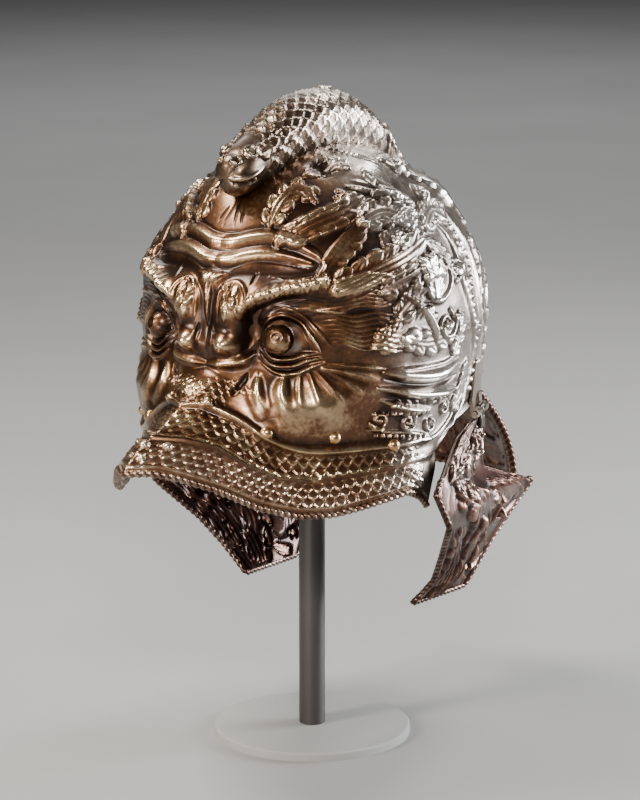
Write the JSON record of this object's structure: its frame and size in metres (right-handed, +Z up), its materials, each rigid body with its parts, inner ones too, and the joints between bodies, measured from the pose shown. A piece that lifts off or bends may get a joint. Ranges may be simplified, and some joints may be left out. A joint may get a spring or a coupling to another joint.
{
  "type": "embossed burgonet helmet on a post stand",
  "caption": "Embossed steel burgonet with a grotesque sea-monster mask, scaled peak, fish crest and hinged cheekpieces, on a plain post stand.",
  "frame": {"origin": "centre of the stand's foot, on the floor; the post's axis is X = Y = 0", "axes": "+Z up along the post; the helmet faces -Y; +X is the wearer's left"},
  "size_m": [0.2384, 0.3825, 0.432],
  "materials": {
    "embossed_steel": "russet patina in the recesses, polished and worn to bronze and silver on the raised work",
    "dark_steel": "reddish brown patina",
    "hinge_steel": "worn, half bright",
    "gilt_rivets": "worn gilding",
    "post_finish": "dark grey-brown, satin",
    "base_finish": "matt pale grey"
  },
  "bodies": {
    "helmet_on_stand": {"bowl": "embossed_steel", "peak": "embossed_steel", "nape_plate": "dark_steel", "stand_post": "post_finish", "stand_base": "base_finish", "left_hinge_leaf": "hinge_steel", "left_hinge_pin": "hinge_steel", "left_rivet_1": "gilt_rivets", "left_rivet_2": "gilt_rivets", "left_rivet_3": "gilt_rivets", "right_hinge_leaf": "hinge_steel", "right_hinge_pin": "hinge_steel", "right_rivet_1": "gilt_rivets", "right_rivet_2": "gilt_rivets", "right_rivet_3": "gilt_rivets"},
    "left_cheek": {"left_cheekpiece": "dark_steel"},
    "right_cheek": {"right_cheekpiece": "dark_steel"}
  },
  "joints": [
    {"name": "left_cheek_hinge", "type": "hinge", "parent": "helmet_on_stand", "child": "left_cheek", "pos_m": [0.0947, 0.05702, 0.223], "axis": [0.309, -0.9511, 0], "range_deg": [0, 60]},
    {"name": "right_cheek_hinge", "type": "hinge", "parent": "helmet_on_stand", "child": "right_cheek", "pos_m": [-0.0947, 0.05702, 0.223], "axis": [0.309, 0.9511, 0], "range_deg": [0, 60]}
  ]
}
